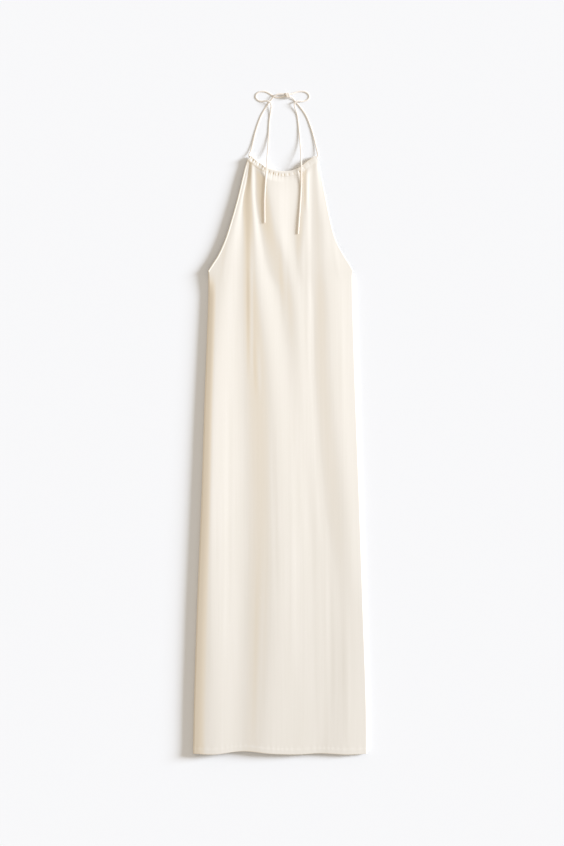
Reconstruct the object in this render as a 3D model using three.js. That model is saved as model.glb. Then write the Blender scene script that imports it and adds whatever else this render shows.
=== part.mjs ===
// A satin halter dress, laid flat on its back, as the pieces that a maker would cut and sew.
// Millimetres. X runs to the right, Y towards the neck and Z up from the surface it lies on.
// "down" is the distance below the neckline's corners, so a point's Y is minus its down
// until the whole dress is moved to its origin at the end.

import * as THREE from "three";

// Driving dimensions.
const CLOTH = 1;
const SEAM_GAP = 0.3;
const HEM_DOWN = 1376;
const HEM_DEPTH = 13;
const HEM_TURN = 0.6;
const HEM_STEP = 1.5;
const BACK_HEM_DOWN = 1369.5;
const UNDERARM_DOWN = 267;
const BACK_TOP_DOWN = 275;
const FRONT_TOP_DOWN = 13;
const NECK_FADE = 150;

// Rows across the cloth: below the front's top, below the underarm, and then even ones.
const ROW_STEPS = {
  bib: [0, 6, 13, 22, 33, 47, 64, 84, 106, 130, 154, 178, 201, 220, 234, 245],
  underarm: [8, 18, 32],
  skirt: 50,
};
const SKIRT_FIRST_ROW = 340;
const FRONT_COLUMNS = 38;
const FRONT_CURL_DEGREES = [0, 40, 90];
const BACK_CURL_DEGREES = [0, 22, 45, 68, 90];
const BACK_COLUMN_SHARES = [0.2, 0.4, 0.6, 0.8];

// Side edges of the skirt: the front rolls down, softly at the left, and the back curls up
// to meet it.
const FRONT_SEAM_HEIGHT = 3;
const BACK_SEAM_HEIGHT = FRONT_SEAM_HEIGHT - SEAM_GAP;
const FRONT_FLANK = 2.5;
const BACK_FLANK = 5;
const FLANK_START = 25;
const LEFT_ROUND = { drop: 2.2, width: 22 };

// Gathered casing along the neckline, with a tunnel for the tie.
const CASING = { width: 14, height: 7.4, tunnelWidth: 11, tunnelHeight: 5.4, sides: 10 };
const CASING_MIDDLE = { lowest: 4.3, overFold: 4, share: 0.25 };
const CASING_END = 4;
const GATHERS = 20;
const GATHER_STEPS = 4;
const GATHER_RISE = 1.1;
const GATHER_FULLNESS = { mean: 0.75, swing: 0.25, phase: 2.4, rate: 17 };
const GATHER_FLAT = { from: 0.7, over: 0.12, loss: 0.65 };
const PLEAT_RISE = 0.6;
const PLEAT_LENGTH = 26;
const PLEAT_END_SHARE = 0.1;
const SEAM_BLEND = { before: 4, over: 20 };

// Binding folded over each armhole edge, from a little below the casing.
const BINDING = { lap: 2.4, half: 2, slot: 1, gap: 0.35, wall: 1.15, shoulder: 0.6, chamfer: 0.1 };
const BINDING_START = 0.4;

// Thin tie, a tube pressed flat, threaded through the casing and tied in a bow.
const TIE = { width: 3.4, thickness: 1.7, sides: 8 };
const TIE_OFFSET = 2;
const TIE_STEP = 8;
const TIE_INSIDE = 11.8;
const TIE_INSIDE_POINTS = 9;
const KNOT = {
  x: 17.5, down: -136.9, z: 3.8, apart: 6.1, thickness: 1.9, width: 10, steps: 20, sides: 8,
};
const KNOT_SLACK = 0.6;

const SATIN = { color: 0xf3eadb, roughness: 0.45, metalness: 0 };
const TIE_SATIN = { color: 0xf6eadc, roughness: 0.45, metalness: 0 };

// Outline of the front at the armholes, and at the side seams below them.
const ARMHOLE = [
  { down: 2, left: -69.4, right: 83.2 },
  { down: 23, left: -77.9, right: 88.7 },
  { down: 55, left: -86.4, right: 94.7 },
  { down: 104, left: -98.4, right: 104.6 },
  { down: 159, left: -114.3, right: 116.1 },
  { down: 196, left: -126.3, right: 126.8 },
  { down: 232, left: -142.6, right: 145.6 },
  { down: 251, left: -154.8, right: 157.8 },
  { down: UNDERARM_DOWN, left: -165.2, right: 166.6 },
];
const SIDE = [
  { down: UNDERARM_DOWN, left: -165.2, right: 166.6 },
  { down: 334, left: -165.7, right: 167.8 },
  { down: 564, left: -174.2, right: 174.9 },
  { down: 794, left: -181.6, right: 183.4 },
  { down: 1024, left: -191, right: 191 },
  { down: 1254, left: -198.4, right: 198.8 },
  { down: HEM_DOWN, left: -200.7, right: 200 },
];

// Crests and valleys that run down the front, from left to right. Each has its X and the
// height of its outer face at these distances down.
const STATIONS = [13, 48, 103, 172, 253, 333, 517, 793, 1069, HEM_DOWN];
const FOLDS = {
  leftSwell: {
    x: [-73, -77.6, -90.3, -106.4, -120.2, -134, -147.8, -154.7, -152.4, -152.4],
    z: [5.4, 6.1, 6.8, 7.4, 8.6, 9.3, 10.2, 11.5, 12, 12.2],
  },
  leftValley: {
    x: [-70, -74.2, -84.5, -85.7, -88, -88, -85.7, -81.1, -83.4, -92.6],
    z: [5.2, 5.7, 6.2, 6, 7.2, 7.4, 7.4, 7.9, 9, 10.3],
  },
  longCrest: {
    x: [-63.8, -66.1, -65, -60.4, -55.8, -46.6, -25.9, -14.4, -19, -35.1],
    z: [7.4, 7.9, 8.8, 8.4, 9.1, 10.1, 10.1, 10.3, 11.1, 11.2],
  },
  longCrestFoot: {
    x: [-56.9, -55.8, -54.6, -44.3, -28.2, -0.6, 17.8, 45.4, 54.6, 45.4],
    z: [6.9, 7.2, 8.1, 7.3, 7.9, 8, 8.7, 8.3, 8.7, 9.1],
  },
  middleCrest: {
    x: [-32.8, -30.5, -21.3, -9.8, 13.2, 31.6, 45.4, 63.8, 82.2, 73],
    z: [9.4, 9.8, 10.7, 9.3, 9.3, 9.1, 8.3, 7.4, 7.7, 8.3],
  },
  bibValley: {
    x: [43.1, 40.8, 33.9, 29.3, 36.2, 52.3, 66.1, 82.2, 105.2, 86.8],
    z: [7.7, 7.6, 7.6, 7.2, 8.7, 8.4, 7.4, 6.9, 7.2, 8],
  },
  bibCrest: {
    x: [60.4, 59.2, 59.2, 54.6, 50, 63.8, 74.2, 91.4, 119, 96],
    z: [8.6, 8.7, 8.4, 8.4, 8.8, 7.9, 7, 6.6, 6.9, 7.9],
  },
  rightValley: {
    x: [74.2, 73, 73, 73, 75.3, 77.6, 82.2, 105.2, 137.4, 114.4],
    z: [7.9, 7.9, 7.6, 7.4, 8, 7.3, 6.9, 6.4, 6.6, 7.9],
  },
  rightCrest: {
    x: [82.2, 84.5, 89.1, 98.3, 105.2, 112.1, 121.3, 148.9, 165, 153.5],
    z: [8, 7.9, 7.7, 7.7, 8.4, 8.3, 7.9, 7.2, 6.4, 7.6],
  },
};
const LEFT_EDGE_Z = [5.2, 6, 6.7, 7.3, 8.2, 8.9, 9.7, 10.9, 11.3, 11.4];
const RIGHT_EDGE_Z = [6.9, 6.9, 6.7, 6.6, 6, 5.6, 5.6, 5.6, 5.6, 5.7];

// How far the hem hangs below its straight line, at these X.
const HEM_WAVE = [
  { x: -200, drop: 0 },
  { x: -150, drop: 1 },
  { x: -86, drop: -6 },
  { x: -20, drop: 0 },
  { x: 40, drop: 1.5 },
  { x: 90, drop: -1 },
  { x: 156, drop: 2 },
  { x: 200, drop: 0 },
];
const HEM_WAVE_LENGTH = 120;

// Upper edge of the neckline.
const NECKLINE = [
  { x: -69.1, down: -0.5 },
  { x: -52.1, down: 14.5 },
  { x: -33.9, down: 27.1 },
  { x: -14.4, down: 34.5 },
  { x: 8.6, down: 37.7 },
  { x: 29.3, down: 35 },
  { x: 45.4, down: 27.6 },
  { x: 61.5, down: 14.7 },
  { x: 83.6, down: 0.5 },
];

// Each tie runs from inside the casing up to the knot, round its loop and down to its free end.
const LEFT_TIE = [
  { x: -61.3, down: 13.3, z: 4.4 },
  { x: -70.2, down: 5.2, z: 4.4 },
  { x: -71.4, down: 1.2, z: 4.2 },
  { x: -70.3, down: -3.5, z: 3 },
  { x: -67.6, down: -10, z: 2.4 },
  { x: -64.3, down: -23, z: 1.7 },
  { x: -59, down: -46, z: 1.3 },
  { x: -52.6, down: -67.9, z: 1.1 },
  { x: -43.4, down: -91.3, z: 1.1 },
  { x: -32.1, down: -110.9, z: 1.1 },
  { x: -24.8, down: -121.6, z: 1.4 },
  { x: -18.6, down: -130.2, z: 2.9 },
  { x: -11.5, down: -136.4, z: 3.7 },
  { x: -2.5, down: -139.6, z: 3.9 },
  { x: 5.5, down: -140, z: 3.9 },
  { x: 11.5, down: -139.6, z: 3.8 },
  { x: 17.5, down: -139.2, z: 3.8 },
  { x: 23.5, down: -139.5, z: 3.5 },
  { x: 31, down: -141.9, z: 2.4 },
  { x: 39, down: -144.8, z: 1.4 },
  { x: 48, down: -146.3, z: 1.1 },
  { x: 57.5, down: -145.2, z: 1.1 },
  { x: 64.7, down: -140.4, z: 1.1 },
  { x: 67, down: -133.6, z: 1.1 },
  { x: 62.8, down: -127.2, z: 1.1 },
  { x: 54.5, down: -124, z: 1.5 },
  { x: 46, down: -123.9, z: 3 },
  { x: 39.5, down: -123.6, z: 3.8 },
  { x: 34.3, down: -120.6, z: 3.9 },
  { x: 32.6, down: -114.8, z: 3.4 },
  { x: 34.5, down: -107, z: 2.2 },
  { x: 39, down: -93, z: 1.2 },
  { x: 43.3, down: -57.5, z: 1.3 },
  { x: 46.3, down: -23, z: 3 },
  { x: 48, down: 6, z: 7.5 },
  { x: 48.4, down: 23, z: 11.5 },
  { x: 48.3, down: 40, z: 10.7 },
  { x: 48.2, down: 69, z: 9.4 },
  { x: 46.3, down: 103.5, z: 9.2 },
  { x: 40.8, down: 182.9, z: 9.2 },
];
const RIGHT_TIE = [
  { x: 73.3, down: 12.9, z: 4.7 },
  { x: 83.9, down: 6.4, z: 4.6 },
  { x: 86.3, down: 2, z: 4.2 },
  { x: 86, down: -3, z: 3 },
  { x: 84.3, down: -10.4, z: 2.4 },
  { x: 80.8, down: -25.3, z: 1.7 },
  { x: 72.6, down: -56.4, z: 1.3 },
  { x: 59.7, down: -89.7, z: 1.1 },
  { x: 45, down: -111.3, z: 1.1 },
  { x: 34.6, down: -122.9, z: 1.1 },
  { x: 29.5, down: -129.8, z: 2.1 },
  { x: 23.3, down: -134.1, z: 3.5 },
  { x: 17.5, down: -134.6, z: 3.8 },
  { x: 11.5, down: -134.7, z: 3.6 },
  { x: 4, down: -133.3, z: 2.6 },
  { x: -4, down: -132.2, z: 1.4 },
  { x: -12, down: -133.4, z: 1.1 },
  { x: -20.8, down: -138.7, z: 1.1 },
  { x: -28.8, down: -143.6, z: 1.1 },
  { x: -38, down: -146.2, z: 1.1 },
  { x: -47, down: -145.2, z: 1.1 },
  { x: -54.2, down: -140.5, z: 1.1 },
  { x: -56, down: -133.2, z: 1.1 },
  { x: -51.3, down: -126.6, z: 1.1 },
  { x: -42.6, down: -123.4, z: 1.6 },
  { x: -34.5, down: -123.8, z: 3 },
  { x: -28, down: -123.4, z: 3.9 },
  { x: -22.7, down: -119.8, z: 4 },
  { x: -20.6, down: -113.3, z: 3.4 },
  { x: -21.2, down: -105, z: 2.2 },
  { x: -22.9, down: -93, z: 1.3 },
  { x: -25, down: -75.9, z: 1.1 },
  { x: -26.6, down: -46, z: 1.4 },
  { x: -28.4, down: -11.5, z: 4.1 },
  { x: -30.2, down: 12, z: 8.6 },
  { x: -31.4, down: 29.9, z: 11.9 },
  { x: -33, down: 48, z: 11.1 },
  { x: -34.4, down: 69, z: 11.3 },
  { x: -36.2, down: 103.5, z: 11.2 },
  { x: -36, down: 157.6, z: 9.5 },
];

// Smooth step from 0 to 1.
function ease(t) {
  const inside = Math.min(Math.max(t, 0), 1);
  return inside * inside * (3 - 2 * inside);
}

// Value at x of a smooth curve through points, level beyond its ends.
function curveThrough(xs, ys, x) {
  const last = xs.length - 1;
  if (x <= xs[0]) return ys[0];
  if (x >= xs[last]) return ys[last];
  const i = xs.findIndex((value) => value > x) - 1;
  const slope = (k) => {
    const before = Math.max(k - 1, 0);
    const after = Math.min(k + 1, last);
    return (ys[after] - ys[before]) / (xs[after] - xs[before]);
  };
  const span = xs[i + 1] - xs[i];
  const t = (x - xs[i]) / span;
  const bend = span * t * (1 - t) * (slope(i) * (1 - t) - slope(i + 1) * t);
  return THREE.MathUtils.lerp(ys[i], ys[i + 1], ease(t)) + bend;
}

// X of the left or right edge of the front or back.
function edgeAt(side, down) {
  const rows = down < UNDERARM_DOWN ? ARMHOLE : SIDE;
  return curveThrough(
    rows.map((row) => row.down),
    rows.map((row) => row[side]),
    down,
  );
}

// Height of the front's outer face: a smooth curve from edge to edge through each crest and valley.
function clothHeight(x, down) {
  const lines = [
    { x: edgeAt("left", down), z: curveThrough(STATIONS, LEFT_EDGE_Z, down) },
    ...Object.values(FOLDS).map((fold) => ({
      x: curveThrough(STATIONS, fold.x, down),
      z: curveThrough(STATIONS, fold.z, down),
    })),
    { x: edgeAt("right", down), z: curveThrough(STATIONS, RIGHT_EDGE_Z, down) },
  ];
  return curveThrough(
    lines.map((line) => line.x),
    lines.map((line) => line.z),
    x,
  );
}

const necklineCurve = new THREE.CatmullRomCurve3(
  NECKLINE.map((point) => new THREE.Vector3(point.x, -point.down, 0)),
  false,
  "centripetal",
);

// A point along the neckline, a distance into the dress from its upper edge.
function neckPoint(t, inward) {
  const tangent = necklineCurve.getTangentAt(t);
  const normal = new THREE.Vector3(tangent.y, -tangent.x, 0);
  return necklineCurve.getPointAt(t).addScaledVector(normal, inward);
}

// Share of the neckline's length that lies before each end of the casing.
const casingTrim = CASING_END / necklineCurve.getLength();

// Parameter of the neckline for a share of the casing's own length.
function casingShare(s) {
  return casingTrim + s * (1 - 2 * casingTrim);
}

// Height of the casing's middle, which rides a little on the folds below it.
function casingMiddle(s) {
  const seam = neckPoint(casingShare(s), CASING.width);
  const { lowest, overFold, share } = CASING_MIDDLE;
  return lowest + share * (clothHeight(seam.x, -seam.y) - overFold);
}

// A closed wall between an outer and an inner grid of points, rows by columns. With wrap,
// the last column joins the first and the wall is a tube with open ends.
function wallGeometry(outer, inner, wrap = false) {
  const rows = outer.length;
  const columns = outer[0].length;
  const positions = [...outer, ...inner].flat().flatMap((point) => point.toArray());
  const at = (layer, row, column) => (layer * rows + row) * columns + (column % columns);
  const index = [];
  const quad = (a, b, c, d) => index.push(a, b, c, a, c, d);
  const spans = wrap ? columns : columns - 1;
  for (let r = 0; r < rows - 1; r += 1) {
    for (let c = 0; c < spans; c += 1) {
      quad(at(0, r, c), at(0, r + 1, c), at(0, r + 1, c + 1), at(0, r, c + 1));
      quad(at(1, r, c), at(1, r, c + 1), at(1, r + 1, c + 1), at(1, r + 1, c));
    }
    if (!wrap) {
      quad(at(0, r, 0), at(1, r, 0), at(1, r + 1, 0), at(0, r + 1, 0));
      quad(at(0, r + 1, spans), at(1, r + 1, spans), at(1, r, spans), at(0, r, spans));
    }
  }
  for (let c = 0; c < spans; c += 1) {
    quad(at(0, 0, c), at(0, 0, c + 1), at(1, 0, c + 1), at(1, 0, c));
    quad(at(0, rows - 1, c + 1), at(0, rows - 1, c), at(1, rows - 1, c), at(1, rows - 1, c + 1));
  }
  const geometry = new THREE.BufferGeometry();
  geometry.setAttribute("position", new THREE.Float32BufferAttribute(positions, 3));
  geometry.setIndex(index);
  return facingOut(geometry);
}

// The same geometry with its triangles turned round if they enclose a negative volume.
function facingOut(geometry) {
  const points = geometry.getAttribute("position");
  const index = geometry.getIndex().array;
  const corner = (k) => new THREE.Vector3().fromBufferAttribute(points, index[k]);
  let volume = 0;
  for (let k = 0; k < index.length; k += 3) {
    volume += corner(k).dot(corner(k + 1).cross(corner(k + 2)));
  }
  if (volume < 0) index.reverse();
  geometry.computeVertexNormals();
  return geometry;
}

// Unit normals of a grid of points, from each point's neighbours.
function gridNormals(grid) {
  return grid.map((row, r) =>
    row.map((_, c) => {
      const up = grid[Math.max(r - 1, 0)][c];
      const below = grid[Math.min(r + 1, grid.length - 1)][c];
      const before = row[Math.max(c - 1, 0)];
      const after = row[Math.min(c + 1, row.length - 1)];
      return after.clone().sub(before).cross(up.clone().sub(below)).normalize();
    }),
  );
}

// Every point of a grid moved along its normal.
function offsetGrid(grid, distance) {
  const normals = gridNormals(grid);
  return grid.map((row, r) =>
    row.map((point, c) => point.clone().addScaledVector(normals[r][c], distance)),
  );
}

// Distances down the rows of the skirt, shared by the front and the back.
function skirtRows() {
  const rows = ROW_STEPS.underarm.map((step) => UNDERARM_DOWN + step);
  const last = HEM_DOWN - HEM_DEPTH - ROW_STEPS.skirt / 2;
  for (let down = SKIRT_FIRST_ROW; down < last; down += ROW_STEPS.skirt) {
    rows.push(down);
  }
  return rows;
}

// Distances down the rows of the front, closest at the gathers.
function frontRows() {
  const bib = ROW_STEPS.bib.map((step) => FRONT_TOP_DOWN + step);
  const hem = [HEM_DEPTH + HEM_STEP, HEM_DEPTH, HEM_DEPTH / 2, 0].map((up) => HEM_DOWN - up);
  return [...bib, UNDERARM_DOWN, ...skirtRows(), ...hem];
}

// Distances of the columns from the left edge, as shares of the width: flanks, then even.
function frontColumns() {
  const flank = FRONT_CURL_DEGREES.map((degrees) => ({
    roll: 1 - Math.cos(THREE.MathUtils.degToRad(degrees)),
    lift: Math.sin(THREE.MathUtils.degToRad(degrees)),
    plain: degrees / 90,
  }));
  const middle = Array.from({ length: FRONT_COLUMNS }, (_, i) => ({
    share: (i + 1) / (FRONT_COLUMNS + 1),
  }));
  return [
    ...flank.map((place) => ({ side: "left", ...place })),
    ...middle,
    ...flank.map((place) => ({ side: "right", ...place })).reverse(),
  ];
}

function frontGrid() {
  const columns = frontColumns();
  const rows = frontRows();
  const topEdge = (x) => {
    const left = edgeAt("left", FRONT_TOP_DOWN);
    const right = edgeAt("right", FRONT_TOP_DOWN);
    const s = THREE.MathUtils.clamp((x - left) / (right - left), 0, 1);
    return { s, point: neckPoint(casingShare(s), CASING.width + SEAM_GAP) };
  };
  return rows.map((down) => {
    const left = edgeAt("left", down);
    const right = edgeAt("right", down);
    const rolled = ease((down - UNDERARM_DOWN) / FLANK_START);
    const fromTop = down - FRONT_TOP_DOWN;
    return columns.map((column, c) => {
      const inward = column.side === "right" ? -1 : 1;
      const edge = column.side === "right" ? right : left;
      let x = THREE.MathUtils.lerp(left + FRONT_FLANK, right - FRONT_FLANK, column.share ?? 0);
      let drop = 0;
      if (column.side) {
        const place = THREE.MathUtils.lerp(column.plain, column.roll, rolled);
        x = edge + inward * FRONT_FLANK * place;
        drop = rolled * (1 - column.lift);
      }
      // The rows follow the neckline at the top and straighten further down.
      const topX = THREE.MathUtils.lerp(
        edgeAt("left", FRONT_TOP_DOWN),
        edgeAt("right", FRONT_TOP_DOWN),
        (x - left) / (right - left),
      );
      const top = topEdge(topX);
      const follow = 1 - ease(fromTop / NECK_FADE);
      x += follow * (top.point.x - topX);
      let y = -down + follow * (top.point.y + FRONT_TOP_DOWN);
      const wave = ease((down - HEM_DOWN + HEM_WAVE_LENGTH) / HEM_WAVE_LENGTH);
      y -= wave * curveThrough(
        HEM_WAVE.map((place) => place.x),
        HEM_WAVE.map((place) => place.drop),
        x,
      );
      const fromLeft = THREE.MathUtils.clamp((x - left) / LEFT_ROUND.width, 0, 1);
      const round = LEFT_ROUND.drop * (1 - Math.sin((fromLeft * Math.PI) / 2));
      const folded = clothHeight(x, -y) - rolled * round;
      const seamHeight = casingMiddle(top.s) + CLOTH / 2;
      const below = ease((fromTop + SEAM_BLEND.before) / SEAM_BLEND.over);
      let z = THREE.MathUtils.lerp(seamHeight, folded, below);
      z = THREE.MathUtils.lerp(z, FRONT_SEAM_HEIGHT, drop);
      const ends = ease(top.s / PLEAT_END_SHARE) * ease((1 - top.s) / PLEAT_END_SHARE);
      const gathered = ends * (1 - ease(fromTop / PLEAT_LENGTH));
      z += (c % 2 ? 1 : -1) * PLEAT_RISE * gathered * looseAt(top.s);
      return new THREE.Vector3(x, y, z);
    });
  });
}

// The front, one panel from the casing to the hem, which is turned up inside.
function frontPanel(grid) {
  const rows = frontRows();
  const inner = offsetGrid(grid, -CLOTH);
  inner.forEach((row) => {
    [row[0], row.at(-1)].forEach((point) => point.setZ(Math.max(point.z, FRONT_SEAM_HEIGHT)));
  });
  const outer = grid.map((row, r) => {
    const turned = rows[r] >= HEM_DOWN - HEM_DEPTH ? HEM_TURN : 0;
    return row.map((point) => point.clone().setZ(point.z + turned));
  });
  return wallGeometry(outer, inner);
}

// The back, flat on the surface from the underarms to its own hem, curled up at its sides.
function backPanel() {
  const hem = [HEM_DEPTH + HEM_STEP, HEM_DEPTH, 0].map((up) => BACK_HEM_DOWN - up);
  const rows = [BACK_TOP_DOWN, ...skirtRows().slice(1), ...hem];
  const curl = BACK_CURL_DEGREES.map((degrees) => ({
    out: BACK_FLANK * (1 - Math.cos(THREE.MathUtils.degToRad(degrees))),
    rise: BACK_SEAM_HEIGHT * (1 - Math.sin(THREE.MathUtils.degToRad(degrees))),
  }));
  const outer = rows.map((down) => {
    const left = edgeAt("left", down);
    const right = edgeAt("right", down);
    return [
      ...curl.map(({ out, rise }) => new THREE.Vector3(left + out, -down, rise)),
      ...BACK_COLUMN_SHARES.map(
        (share) => new THREE.Vector3(THREE.MathUtils.lerp(left, right, share), -down, 0),
      ),
      ...curl.map(({ out, rise }) => new THREE.Vector3(right - out, -down, rise)).reverse(),
    ];
  });
  const inner = offsetGrid(outer, CLOTH).map((row, r) => {
    const turned = rows[r] >= BACK_HEM_DOWN - HEM_DEPTH ? HEM_TURN : 0;
    return row.map((point, c) => {
      const flat = c >= curl.length - 1 && c <= row.length - curl.length;
      return point.setZ(flat ? point.z + turned : Math.min(point.z, BACK_SEAM_HEIGHT));
    });
  });
  return wallGeometry(outer, inner);
}

// How full the gathers are at a share of the casing's length: they lie nearly flat at its right.
function looseAt(s) {
  const { mean, swing, phase, rate } = GATHER_FULLNESS;
  const { from, over, loss } = GATHER_FLAT;
  return (mean + swing * Math.sin(phase + rate * s)) * (1 - loss * ease((s - from) / over));
}

// The casing: an oval tube swept along the neckline, its upper side raised in gathers.
function neckCasing() {
  const steps = GATHERS * GATHER_STEPS;
  const outer = [];
  const inner = [];
  for (let i = 0; i <= steps; i += 1) {
    const s = i / steps;
    const t = casingShare(s);
    const tangent = necklineCurve.getTangentAt(t);
    const across = new THREE.Vector3(tangent.y, -tangent.x, 0);
    const middle = neckPoint(t, CASING.width / 2).setZ(casingMiddle(s));
    const ridge = (GATHER_RISE * looseAt(s) * (1 - Math.cos(2 * Math.PI * GATHERS * s))) / 2;
    const ring = (halfWidth, halfHeight, raise) =>
      Array.from({ length: CASING.sides }, (_, k) => {
        const angle = (2 * Math.PI * (k + 0.5)) / CASING.sides;
        const lift = Math.max(Math.sin(angle), 0) * raise;
        return middle
          .clone()
          .addScaledVector(across, Math.cos(angle) * halfWidth)
          .setZ(middle.z + Math.sin(angle) * halfHeight + lift);
      });
    const corner = 1 / Math.cos(Math.PI / CASING.sides);
    outer.push(ring((CASING.width / 2) * corner, (CASING.height / 2) * corner, ridge));
    inner.push(ring((CASING.tunnelWidth / 2) * corner, (CASING.tunnelHeight / 2) * corner, 0));
  }
  return wallGeometry(outer, inner, true);
}

// Binding folded round one armhole edge of the front, from the casing to the underarm.
function armholeBinding(grid, side) {
  const rows = frontRows();
  const last = rows.indexOf(UNDERARM_DOWN);
  const normals = gridNormals(grid);
  const { lap, half, slot, gap, wall, shoulder, chamfer } = BINDING;
  // Across the binding: distance in from the edge, then above the cloth's middle.
  const outerSection = [
    [lap, half],
    [-shoulder, half],
    [-gap - wall, 0],
    [-shoulder, -half],
    [lap, -half],
  ];
  const innerSection = [
    [lap, slot],
    [chamfer - gap, slot],
    [-gap, 0],
    [chamfer - gap, -slot],
    [lap, -slot],
  ];
  const outer = [];
  const inner = [];
  const columns = grid[0].length;
  const [edgeColumn, nextColumn, flankColumn] =
    side === "left" ? [0, 1, 2] : [columns - 1, columns - 2, columns - 3];
  for (let r = 0; r <= last; r += 1) {
    const edge = grid[r][edgeColumn];
    const normal = normals[r][nextColumn];
    const along = grid[Math.min(r + 1, last)][edgeColumn]
      .clone()
      .sub(grid[Math.max(r - 1, 0)][edgeColumn]);
    const inward = grid[r][flankColumn].clone().sub(edge);
    inward.addScaledVector(along, -inward.dot(along) / along.lengthSq()).normalize();
    const middle = edge.clone().addScaledVector(normal, -CLOTH / 2);
    const place = ([t, n]) =>
      middle.clone().addScaledVector(inward, t).addScaledVector(normal, n);
    outer.push(outerSection.map(place));
    inner.push(innerSection.map(place));
  }
  [outer, inner].forEach((rings) => {
    rings[0].forEach((point, k) => point.lerp(rings[1][k], BINDING_START));
  });
  return wallGeometry(outer, inner);
}

// A solid through rings of points, capped at its ends or, when closed, joined on itself.
function ringGeometry(rings, closed = false) {
  const sides = rings[0].length;
  const at = (ring, side) => (ring % rings.length) * sides + (side % sides);
  const index = [];
  const spans = closed ? rings.length : rings.length - 1;
  for (let i = 0; i < spans; i += 1) {
    for (let k = 0; k < sides; k += 1) {
      index.push(at(i, k), at(i, k + 1), at(i + 1, k + 1));
      index.push(at(i, k), at(i + 1, k + 1), at(i + 1, k));
    }
  }
  for (let k = 1; k < sides - 1 && !closed; k += 1) {
    index.push(at(0, 0), at(0, k + 1), at(0, k));
    index.push(at(spans, 0), at(spans, k), at(spans, k + 1));
  }
  const geometry = new THREE.BufferGeometry();
  const positions = rings.flat().flatMap((point) => point.toArray());
  geometry.setAttribute("position", new THREE.Float32BufferAttribute(positions, 3));
  geometry.setIndex(index);
  return facingOut(geometry);
}

// The tie along a curve, with its broad sides facing up and down.
function tieAlong(curve) {
  const steps = Math.round(curve.getLength() / TIE_STEP);
  const rings = Array.from({ length: steps + 1 }, (_, i) => {
    const tangent = curve.getTangentAt(i / steps);
    const across = new THREE.Vector3(tangent.y, -tangent.x, 0).normalize();
    const upright = across.clone().cross(tangent);
    return Array.from({ length: TIE.sides }, (_, k) => {
      const angle = (2 * Math.PI * k) / TIE.sides;
      return curve
        .getPointAt(i / steps)
        .addScaledVector(across, (Math.cos(angle) * TIE.width) / 2)
        .addScaledVector(upright, (Math.sin(angle) * TIE.thickness) / 2);
    });
  });
  return ringGeometry(rings);
}

// A tie's free stretch, from just inside the casing to its cut end.
function tieGeometry(route) {
  const points = route.map(({ x, down, z }) => new THREE.Vector3(x, -down, z));
  return tieAlong(new THREE.CatmullRomCurve3(points, false, "centripetal"));
}

// The tie's stretch inside the casing, between the starts of the two free stretches.
function tieInCasing() {
  const length = necklineCurve.getLength();
  const first = (CASING_END + TIE_INSIDE) / length;
  const points = Array.from({ length: TIE_INSIDE_POINTS }, (_, i) => {
    const t = first + (i / (TIE_INSIDE_POINTS - 1)) * (1 - 2 * first);
    const s = (t - casingTrim) / (1 - 2 * casingTrim);
    return neckPoint(t, CASING.width / 2 - TIE_OFFSET).setZ(casingMiddle(s));
  });
  return tieAlong(new THREE.CatmullRomCurve3(points));
}

// The knot's wrap: a closed round of tie about the two strands, in a plane across them.
function knotWrap() {
  const { x, down, z, apart, thickness, width, steps, sides } = KNOT;
  const bend = TIE.thickness / 2 + KNOT_SLACK + thickness / 2;
  const rings = Array.from({ length: steps }, (_, i) => {
    const turn = (2 * Math.PI * (i + 0.5)) / steps;
    const outward = new THREE.Vector3(0, Math.cos(turn), Math.sin(turn));
    const middle = new THREE.Vector3(x, -down + (apart / 2) * Math.sign(outward.y), z)
      .addScaledVector(outward, bend);
    return Array.from({ length: sides }, (_, k) => {
      const angle = (2 * Math.PI * k) / sides;
      return middle
        .clone()
        .addScaledVector(outward, (Math.cos(angle) * thickness) / 2)
        .setX(x + (Math.sin(angle) * width) / 2);
    });
  });
  return ringGeometry(rings, true);
}

function piece(name, geometry, finish) {
  const mesh = new THREE.Mesh(geometry, new THREE.MeshStandardMaterial(finish));
  mesh.name = name;
  return mesh;
}

const front = frontGrid();
const garment = [
  piece("front_panel", frontPanel(front), SATIN),
  piece("back_panel", backPanel(), SATIN),
  piece("neck_casing", neckCasing(), SATIN),
  piece("armhole_binding_left", armholeBinding(front, "left"), SATIN),
  piece("armhole_binding_right", armholeBinding(front, "right"), SATIN),
  piece("tie_in_casing", tieInCasing(), TIE_SATIN),
];
const ties = [
  piece("tie_left", tieGeometry(LEFT_TIE), TIE_SATIN),
  piece("tie_right", tieGeometry(RIGHT_TIE), TIE_SATIN),
  piece("bow_knot", knotWrap(), TIE_SATIN),
];

// The origin is the middle of the garment without its free ties, on the surface below it.
const dress = new THREE.Group();
dress.add(...garment);
const middle = new THREE.Box3().setFromObject(dress).getCenter(new THREE.Vector3());
dress.add(...ties);
dress.position.set(-middle.x, -middle.y, 0);

const root = new THREE.Group();
root.add(dress);

export default root;
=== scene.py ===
import math

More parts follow.
